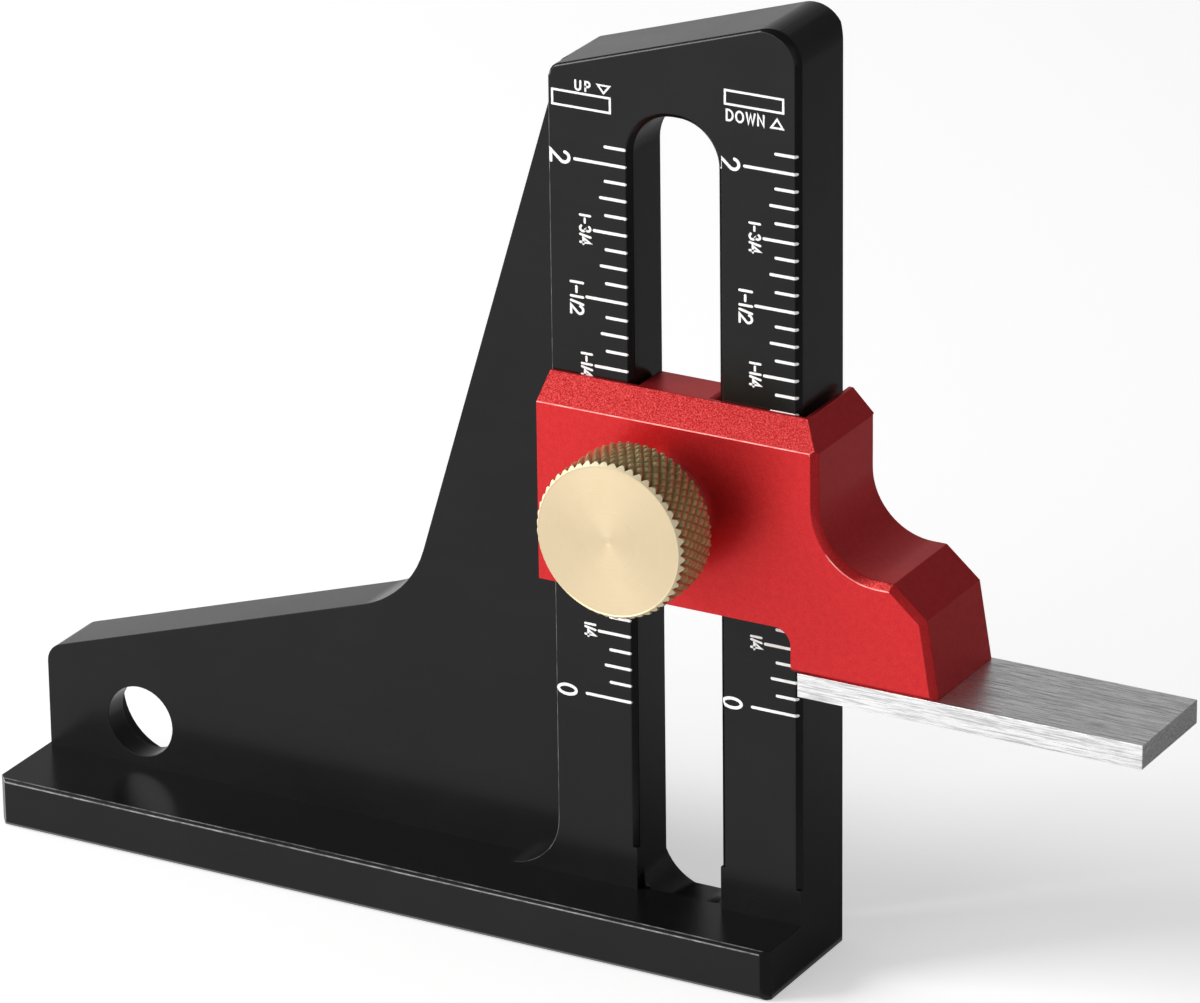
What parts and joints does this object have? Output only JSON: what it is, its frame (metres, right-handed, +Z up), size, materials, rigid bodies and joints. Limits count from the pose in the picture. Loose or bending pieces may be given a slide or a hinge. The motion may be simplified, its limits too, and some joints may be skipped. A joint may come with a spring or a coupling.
{
  "type": "table saw height gauge",
  "caption": "Self-standing L-shaped height gauge: a slotted column with scales, a sliding carriage with a flat stop bar, and a knurled clamp knob.",
  "frame": {"origin": "centre of the base strip's underside", "axes": "+X towards the stop bar, +Y to the back of the column, +Z up from the table"},
  "size_m": [0.116, 0.021, 0.0888],
  "materials": {
    "black_anodised": "black anodised, fine satin",
    "red_anodised": "red anodised, fine blasted satin",
    "brushed_steel": "brushed along its length",
    "screw_steel": "plain bright steel",
    "washer_steel": "plain satin steel",
    "brass": "turned face, knurled rim"
  },
  "bodies": {
    "frame": {"frame": "black_anodised"},
    "carriage": {"slide": "red_anodised", "stop_bar": "brushed_steel", "bar_screws": "screw_steel"},
    "knob": {"clamp_knob": "brass", "clamp_screw": "screw_steel", "clamp_washer": "washer_steel"},
    "nut": {"clamp_nut": "screw_steel"}
  },
  "joints": [
    {"name": "height_travel", "type": "slide", "parent": "frame", "child": "carriage", "axis": [0, 0, 1], "range_m": [-0.0286, 0.0224]},
    {"name": "knob_turn", "type": "hinge", "parent": "carriage", "child": "knob", "pos_m": [0.02835, -0.012, 0.04428], "axis": [0, -1, 0], "range_deg": [0, 360]},
    {"name": "nut_travel", "type": "slide", "parent": "carriage", "child": "nut", "axis": [0, 1, 0], "range_m": [0, 0.0007]}
  ],
  "couplings": [
    {"joint": "knob_turn", "follows": "nut_travel", "rad_per_m": 8976}
  ]
}
